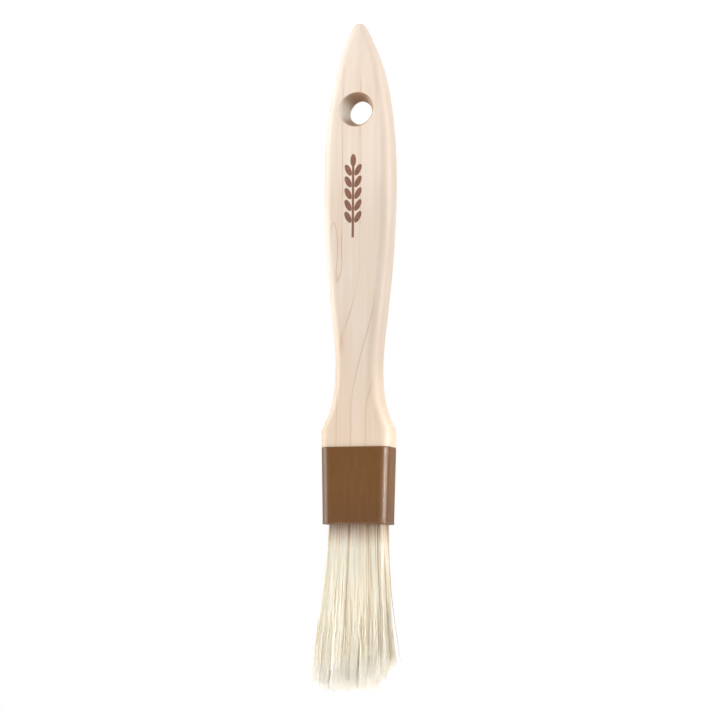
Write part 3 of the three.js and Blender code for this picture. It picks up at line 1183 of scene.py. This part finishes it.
def make_sky():
    world = bpy.data.worlds.new("studio")
    world.use_nodes = True
    world.node_tree.nodes.clear()
    graph = Graph(world.node_tree)
    direction = graph.node("ShaderNodeTexCoord", None, None, "Generated")
    height = graph.split(direction)[2]

    def patch(azimuth, elevation, full, end):
        """1 within full degrees of a direction, and 0 beyond end degrees of it."""
        centre = camera_axes(azimuth, elevation, 0)[2]
        towards = graph.vector("DOT_PRODUCT", direction, centre, output="Value")
        return graph.smooth(towards, math.cos(math.radians(end)), math.cos(math.radians(full)))

    colour = graph.mix(graph.smooth(height, -0.5, -0.16), SKY_LOW, SKY_WHITE)
    colour = graph.mix(graph.smooth(height, 0.35, 0.65), colour, SKY_HIGH)
    right_side = graph.split(direction)[0]
    colour = graph.mix(graph.smooth(right_side, 0.75, 0.95) * 0.6, colour, SKY_HIGH)
    colour = graph.mix(patch(142, 7, 12, 30), colour, FLAG_GREY)
    colour = graph.mix(patch(-6, 7, 20, 46), colour, FLAG_GREY)
    sky = graph.node("ShaderNodeBackground", None, {"Color": colour, "Strength": 1.0})
    graph.raw("ShaderNodeOutputWorld", None, {"Surface": sky})
    bpy.context.scene.world = world


make_sky()


# %% Softboxes and floor
def softbox(name, azimuth, elevation, distance, size, radiance, aim, spread=180):
    """An area light on the side given by azimuth and elevation, turned to the aim point. A
    spread below 180 degrees is a grid that keeps the light on what it points at."""
    light = bpy.data.lights.new(name, "AREA")
    light.spread = math.radians(spread)
    light.shape = "RECTANGLE"
    light.size, light.size_y = size
    light.energy = radiance * math.pi * size[0] * size[1]
    lamp = bpy.data.objects.new(name, light)
    lamp_right, lamp_up, lamp_back = camera_axes(azimuth, elevation, 0)
    turn = Matrix((lamp_right, lamp_up, lamp_back)).transposed().to_4x4()
    lamp.matrix_world = Matrix.Translation(aim + distance * lamp_back) @ turn
    bpy.context.scene.collection.objects.link(lamp)


middle = Vector((0, 0, (handle_high.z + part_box(LOCKS[0])[0].z) / 2))
bristle_middle = Vector((0, 0, MOUTH_Z - 50 * MM))
ferrule_middle = (ferrule_low + ferrule_high) / 2
hole_middle = Vector((0, 0, 0))
softbox("key", -12, 56, 0.9, (0.5, 0.5), 3.4, middle)
softbox("fill", -14, -42, 0.9, (0.5, 0.5), 2.2, middle)
softbox("bristle_light", -8, -30, 0.32, (0.12, 0.05), 0.85, bristle_middle, spread=20)
softbox("bristle_light_back", 170, -30, 0.32, (0.12, 0.05), 0.85, bristle_middle, spread=20)
softbox("ferrule_light", 76, 7, 0.25, (0.09, 0.04), 0.7, ferrule_middle, spread=18)
softbox("hole_light", 32, 4, 0.3, (0.05, 0.05), 0.09, hole_middle, spread=7)
softbox("strip_right", 98, 10, 0.7, (0.08, 0.9), 12, middle)
softbox("softbox_left", -66, 7, 0.8, (0.4, 0.8), 4, middle)


FLOOR_RADIUS = 4.5
FLOOR_BELOW_BRUSH = 0.35


def make_floor():
    material, graph = new_material("pale_floor")
    finish_material(graph, Base_Color=(0.9, 0.9, 0.89, 1), Roughness=0.8)
    mesh = bpy.data.meshes.new("floor")
    work = bmesh.new()
    bmesh.ops.create_circle(work, cap_ends=True, segments=96, radius=FLOOR_RADIUS)
    work.to_mesh(mesh)
    work.free()
    mesh.transform(Matrix.Translation((0, 0, cad_box[0][2] - FLOOR_BELOW_BRUSH)))
    mesh.materials.append(material)
    floor = bpy.data.objects.new("floor", mesh)
    bpy.context.scene.collection.objects.link(floor)


make_floor()
bpy.context.scene.view_settings.view_transform = "Standard"
print("stage set")
